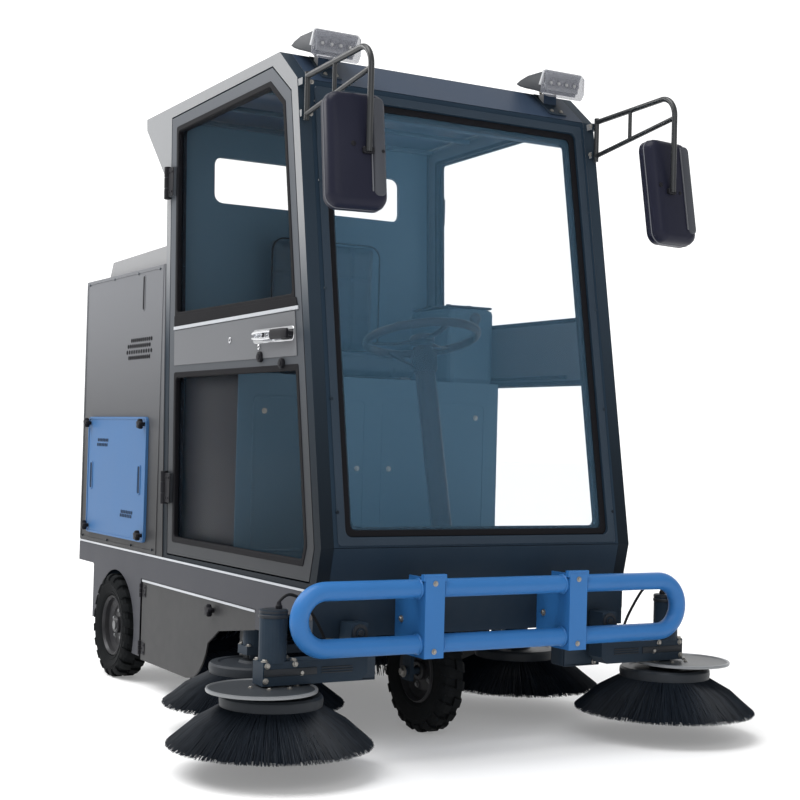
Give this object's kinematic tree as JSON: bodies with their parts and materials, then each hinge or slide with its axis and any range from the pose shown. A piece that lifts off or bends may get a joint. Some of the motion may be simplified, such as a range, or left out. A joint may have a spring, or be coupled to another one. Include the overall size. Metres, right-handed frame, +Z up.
{
  "type": "ride on sweeper",
  "caption": "Ride-on sweeper with a glazed cab, side and front brushes on swinging arms, a loop bumper, mirrors, lamps and a steered front wheel.",
  "frame": {"origin": "on the ground under the middle of the outline", "axes": "+Z up, -Y is the driving direction, +X is the machine's left-hand side"},
  "size_m": [1.914, 2.384, 2.092],
  "materials": {
    "dark_paint": "satin",
    "grey_paint": "satin",
    "silver_paint": "satin",
    "blue_paint": "satin",
    "panel_blue": "satin",
    "tinted_glass": "polished",
    "black_plastic": "matte",
    "mirror_shell": "matte",
    "tyre_rubber": "matte",
    "cable_rubber": "matte",
    "bristle": "matte",
    "bare_steel": "brushed",
    "lamp_clear": "gloss",
    "seat_cover": "satin"
  },
  "bodies": {
    "base": {"chassis_frame": "dark_paint", "roof_panel": "dark_paint", "windscreen_frame": "dark_paint", "windscreen_glass": "tinted_glass", "front_chin_panel": "dark_paint", "cab_rear_wall": "dark_paint", "rear_window_glass": "tinted_glass", "rear_body": "grey_paint", "bumper_loop": "blue_paint", "rear_axle": "bare_steel", "seat_base": "grey_paint", "steering_column": "black_plastic", "cab_side_frame_left": "silver_paint", "bumper_post_left": "blue_paint", "cab_side_frame_right": "silver_paint", "bumper_post_right": "blue_paint"},
    "rear_lid": {"rear_cover": "grey_paint"},
    "hatch": {"rear_hatch": "panel_blue"},
    "fork": {"steering_fork": "dark_paint"},
    "front_wheel": {"front_tyre": "tyre_rubber", "front_rim": "black_plastic"},
    "roller": {"main_roller": "bristle"},
    "seat": {"seat_cushion": "seat_cover"},
    "backrest": {"seat_backrest": "seat_cover"},
    "wheel_rim": {"steering_wheel": "black_plastic"},
    "pedal": {"drive_pedal": "black_plastic"},
    "door_left": {"door_frame_left": "grey_paint", "door_glass_upper_left": "tinted_glass", "door_glass_lower_left": "tinted_glass"},
    "handle_left": {"door_handle_left": "black_plastic"},
    "panel_left": {"side_panel_left": "panel_blue"},
    "apron_left": {"apron_hatch_left": "grey_paint"},
    "rear_wheel_left": {"rear_tyre_left": "tyre_rubber", "rear_rim_left": "black_plastic"},
    "front_arm_left": {"front_brush_arm_left": "dark_paint", "brush_guard_left": "bare_steel", "motor_lead_left": "cable_rubber"},
    "front_brush_left": {"front_brush_left": "bristle"},
    "mid_arm_left": {"mid_brush_arm_left": "dark_paint"},
    "mid_brush_left": {"mid_brush_left": "bristle"},
    "mirror_arm_left": {"mirror_arm_left": "black_plastic"},
    "mirror_left": {"mirror_housing_left": "mirror_shell"},
    "lamp_left": {"work_lamp_left": "lamp_clear"},
    "door_right": {"door_frame_right": "grey_paint", "door_glass_upper_right": "tinted_glass", "door_glass_lower_right": "tinted_glass"},
    "handle_right": {"door_handle_right": "black_plastic"},
    "panel_right": {"side_panel_right": "panel_blue"},
    "apron_right": {"apron_hatch_right": "grey_paint"},
    "rear_wheel_right": {"rear_tyre_right": "tyre_rubber", "rear_rim_right": "black_plastic"},
    "front_arm_right": {"front_brush_arm_right": "dark_paint", "brush_guard_right": "bare_steel", "motor_lead_right": "cable_rubber"},
    "front_brush_right": {"front_brush_right": "bristle"},
    "mid_arm_right": {"mid_brush_arm_right": "dark_paint"},
    "mid_brush_right": {"mid_brush_right": "bristle"},
    "mirror_arm_right": {"mirror_arm_right": "black_plastic"},
    "mirror_right": {"mirror_housing_right": "mirror_shell"},
    "lamp_right": {"work_lamp_right": "lamp_clear"}
  },
  "joints": [
    {"name": "steering", "type": "hinge", "parent": "base", "child": "fork", "pos_m": [0, -0.579, 0.42], "axis": [0, 0, 1], "range_deg": [-45, 45]},
    {"name": "front_wheel_roll", "type": "hinge", "parent": "fork", "child": "front_wheel", "pos_m": [0, -0.579, 0.188], "axis": [1, 0, 0], "continuous": true},
    {"name": "steering_wheel_turn", "type": "hinge", "parent": "base", "child": "wheel_rim", "pos_m": [0, -0.51267, 1.21909], "axis": [0, 0.2443, 0.9697], "range_deg": [-180, 180]},
    {"name": "rear_lid_lift", "type": "hinge", "parent": "base", "child": "rear_lid", "pos_m": [0, 0.3465, 1.556], "axis": [1, 0, 0], "range_deg": [0, 50]},
    {"name": "rear_hatch_swing", "type": "hinge", "parent": "base", "child": "hatch", "pos_m": [0.455, 1.184, 0.98], "axis": [0, 0, -1], "range_deg": [0, 110]},
    {"name": "roller_spin", "type": "hinge", "parent": "base", "child": "roller", "pos_m": [0, 0.26, 0.16], "axis": [1, 0, 0], "continuous": true},
    {"name": "seat_slide", "type": "slide", "parent": "base", "child": "seat", "axis": [0, -1, 0], "range_m": [0, 0.03]},
    {"name": "backrest_tilt", "type": "hinge", "parent": "seat", "child": "backrest", "pos_m": [0, 0.19, 1.2], "axis": [1, 0, 0], "range_deg": [0, 15]},
    {"name": "pedal_press", "type": "hinge", "parent": "base", "child": "pedal", "pos_m": [-0.15, -0.5875, 0.4795], "axis": [1, 0, 0], "range_deg": [0, 12], "stiffness_Nm_per_rad": 8},
    {"name": "door_swing_left", "type": "hinge", "parent": "base", "child": "door_left", "pos_m": [0.546, 0.26742, 0.715], "axis": [0, 0.0467, 0.9989], "range_deg": [0, 85]},
    {"name": "handle_pull_left", "type": "hinge", "parent": "door_left", "child": "handle_left", "pos_m": [0.558, -0.686, 1.197], "axis": [0, 0, -1], "range_deg": [0, 14], "stiffness_Nm_per_rad": 2},
    {"name": "panel_lift_off_left", "type": "slide", "parent": "base", "child": "panel_left", "axis": [1, 0, 0], "range_m": [0, 0.3]},
    {"name": "apron_swing_left", "type": "hinge", "parent": "base", "child": "apron_left", "pos_m": [0.54, 0.476, 0.24], "axis": [0, 0, 1], "range_deg": [0, 95]},
    {"name": "rear_wheel_roll_left", "type": "hinge", "parent": "base", "child": "rear_wheel_left", "pos_m": [0.5115, 0.7475, 0.188], "axis": [1, 0, 0], "continuous": true},
    {"name": "front_arm_lift_left", "type": "hinge", "parent": "base", "child": "front_arm_left", "pos_m": [0.43, -0.912, 0.366], "axis": [0, -1, 0], "range_deg": [-16, 6]},
    {"name": "front_brush_spin_left", "type": "hinge", "parent": "front_arm_left", "child": "front_brush_left", "pos_m": [0.677, -0.912, 0.219], "axis": [0, 0, 1], "continuous": true},
    {"name": "mid_arm_lift_left", "type": "hinge", "parent": "base", "child": "mid_arm_left", "pos_m": [0.2, -0.376, 0.365], "axis": [0, -1, 0], "range_deg": [-14, 3]},
    {"name": "mid_brush_spin_left", "type": "hinge", "parent": "mid_arm_left", "child": "mid_brush_left", "pos_m": [0.483, -0.376, 0.218], "axis": [0, 0, 1], "continuous": true},
    {"name": "mirror_arm_fold_left", "type": "hinge", "parent": "base", "child": "mirror_arm_left", "pos_m": [0.52, -0.708, 1.88], "axis": [0, 0, 1], "range_deg": [0, 80]},
    {"name": "mirror_swivel_left", "type": "hinge", "parent": "mirror_arm_left", "child": "mirror_left", "pos_m": [0.52, -1.09, 1.671], "axis": [0, 0, 1], "range_deg": [-25, 25]},
    {"name": "lamp_tilt_left", "type": "hinge", "parent": "base", "child": "lamp_left", "pos_m": [0.41, -0.586, 2.04], "axis": [1, 0, 0], "range_deg": [-4, 8]},
    {"name": "door_swing_right", "type": "hinge", "parent": "base", "child": "door_right", "pos_m": [-0.546, 0.26742, 0.715], "axis": [0, -0.0467, -0.9989], "range_deg": [0, 85]},
    {"name": "handle_pull_right", "type": "hinge", "parent": "door_right", "child": "handle_right", "pos_m": [-0.558, -0.686, 1.197], "axis": [0, 0, 1], "range_deg": [0, 14], "stiffness_Nm_per_rad": 2},
    {"name": "panel_lift_off_right", "type": "slide", "parent": "base", "child": "panel_right", "axis": [-1, 0, 0], "range_m": [0, 0.3]},
    {"name": "apron_swing_right", "type": "hinge", "parent": "base", "child": "apron_right", "pos_m": [-0.54, 0.476, 0.24], "axis": [0, 0, -1], "range_deg": [0, 95]},
    {"name": "rear_wheel_roll_right", "type": "hinge", "parent": "base", "child": "rear_wheel_right", "pos_m": [-0.5115, 0.7475, 0.188], "axis": [1, 0, 0], "continuous": true},
    {"name": "front_arm_lift_right", "type": "hinge", "parent": "base", "child": "front_arm_right", "pos_m": [-0.43, -0.912, 0.366], "axis": [0, 1, 0], "range_deg": [-16, 6]},
    {"name": "front_brush_spin_right", "type": "hinge", "parent": "front_arm_right", "child": "front_brush_right", "pos_m": [-0.677, -0.912, 0.219], "axis": [0, 0, 1], "continuous": true},
    {"name": "mid_arm_lift_right", "type": "hinge", "parent": "base", "child": "mid_arm_right", "pos_m": [-0.2, -0.376, 0.365], "axis": [0, 1, 0], "range_deg": [-14, 3]},
    {"name": "mid_brush_spin_right", "type": "hinge", "parent": "mid_arm_right", "child": "mid_brush_right", "pos_m": [-0.483, -0.376, 0.218], "axis": [0, 0, 1], "continuous": true},
    {"name": "mirror_arm_fold_right", "type": "hinge", "parent": "base", "child": "mirror_arm_right", "pos_m": [-0.52, -0.708, 1.88], "axis": [0, 0, -1], "range_deg": [0, 80]},
    {"name": "mirror_swivel_right", "type": "hinge", "parent": "mirror_arm_right", "child": "mirror_right", "pos_m": [-0.52, -1.09, 1.671], "axis": [0, 0, 1], "range_deg": [-25, 25]},
    {"name": "lamp_tilt_right", "type": "hinge", "parent": "base", "child": "lamp_right", "pos_m": [-0.41, -0.586, 2.04], "axis": [1, 0, 0], "range_deg": [-4, 8]}
  ],
  "couplings": [
    {"joint": "steering", "follows": "steering_wheel_turn", "ratio": 0.25}
  ]
}
